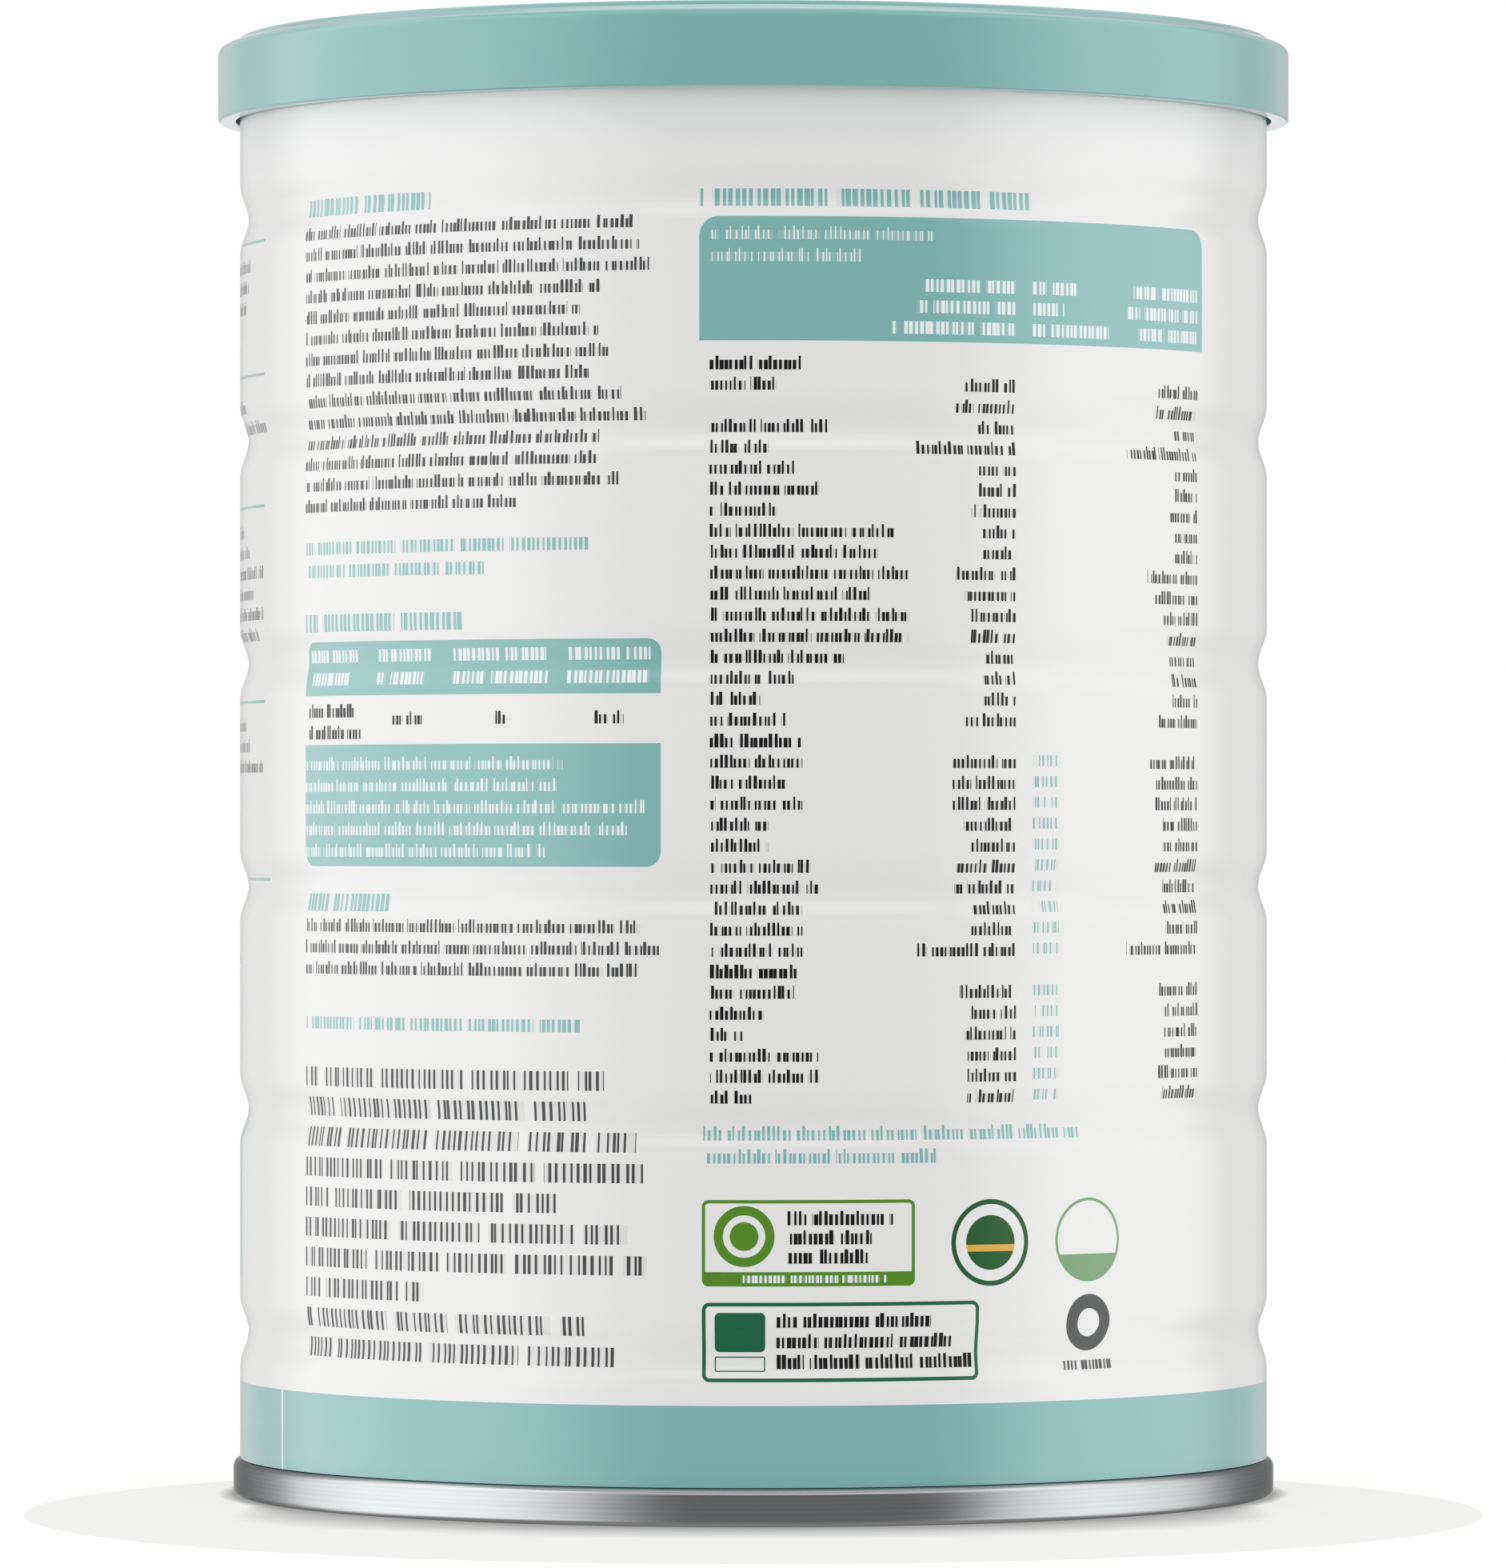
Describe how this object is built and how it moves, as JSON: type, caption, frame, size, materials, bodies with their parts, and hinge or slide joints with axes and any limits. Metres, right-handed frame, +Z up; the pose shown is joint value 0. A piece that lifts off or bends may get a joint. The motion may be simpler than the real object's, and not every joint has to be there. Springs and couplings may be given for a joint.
{
  "type": "toddler formula tin",
  "caption": "Upright round powder tin: beaded printed metal wall, bare metal end seamed on below, and a thick plastic push-on cap with rounded shoulder and stacking rim.",
  "frame": {"origin": "centre of the circle that the tin's base seam stands on, at floor height", "axes": "+Z up along the tin's axis, -Y out of the printed side that faces the camera"},
  "size_m": [0.1328, 0.1328, 0.1802],
  "materials": {
    "printed_enamel": "gloss white enamel on tinplate, with a sage green printed band, panels and rows of print",
    "tinplate": "bright bare tinplate with fine rolling lines",
    "cap_plastic": "semi-gloss moulded sage green plastic"
  },
  "bodies": {
    "root": {"can_body": "printed_enamel", "base_end": "tinplate", "lid": "cap_plastic"}
  },
  "joints": []
}
